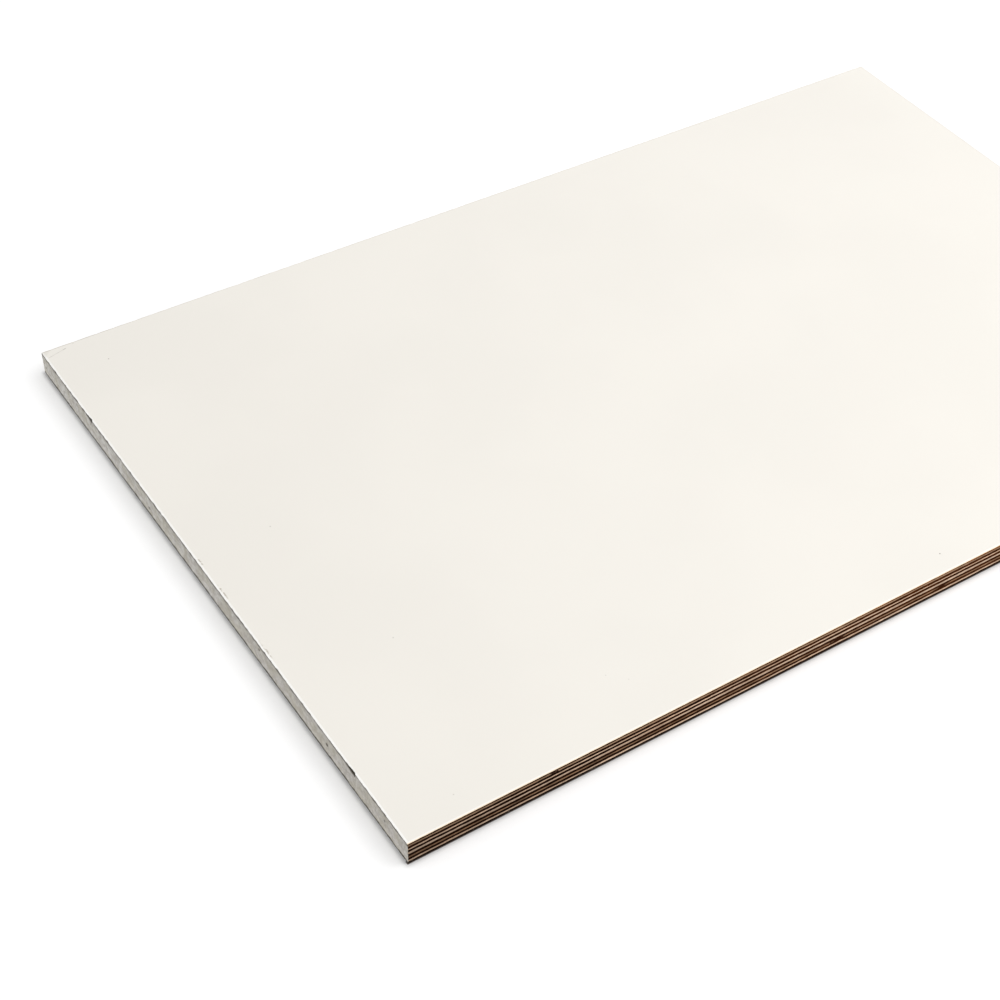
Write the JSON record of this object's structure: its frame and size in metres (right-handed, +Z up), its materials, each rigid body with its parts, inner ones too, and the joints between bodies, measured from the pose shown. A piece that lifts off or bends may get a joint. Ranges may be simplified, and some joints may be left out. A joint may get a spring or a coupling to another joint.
{
  "type": "melamine faced plywood panel",
  "caption": "Flat rectangular plywood panel with off-white melamine film on both sides, sawn edges that show its veneers, and one short end sealed in grey.",
  "frame": {"origin": "middle of the underside, the face that the panel lies on", "axes": "+X along the length, from the sealed short end to the plain one; +Y across the width, away from the long edge that shows; +Z up through the thickness, out of the upper melamine face"},
  "size_m": [0.75, 0.5, 0.018],
  "materials": {
    "melamine_film": "satin off-white melamine film",
    "long_grain_veneer": "sawn, pale tan on the long edges, grain along the panel",
    "cross_grain_veneer": "sawn, dark brown end grain on the long edges, grain across the panel",
    "edge_seal": "matt warm grey sealing coat, slightly uneven"
  },
  "bodies": {
    "root": {"top_melamine_face": "melamine_film", "face_veneer": "cross_grain_veneer", "long_grain_veneer_1": "long_grain_veneer", "cross_grain_veneer_1": "cross_grain_veneer", "long_grain_veneer_2": "long_grain_veneer", "cross_grain_veneer_2": "cross_grain_veneer", "centre_veneer": "long_grain_veneer", "cross_grain_veneer_3": "cross_grain_veneer", "long_grain_veneer_3": "long_grain_veneer", "cross_grain_veneer_4": "cross_grain_veneer", "long_grain_veneer_4": "long_grain_veneer", "back_veneer": "cross_grain_veneer", "bottom_melamine_face": "melamine_film", "end_seal": "edge_seal"}
  },
  "joints": []
}
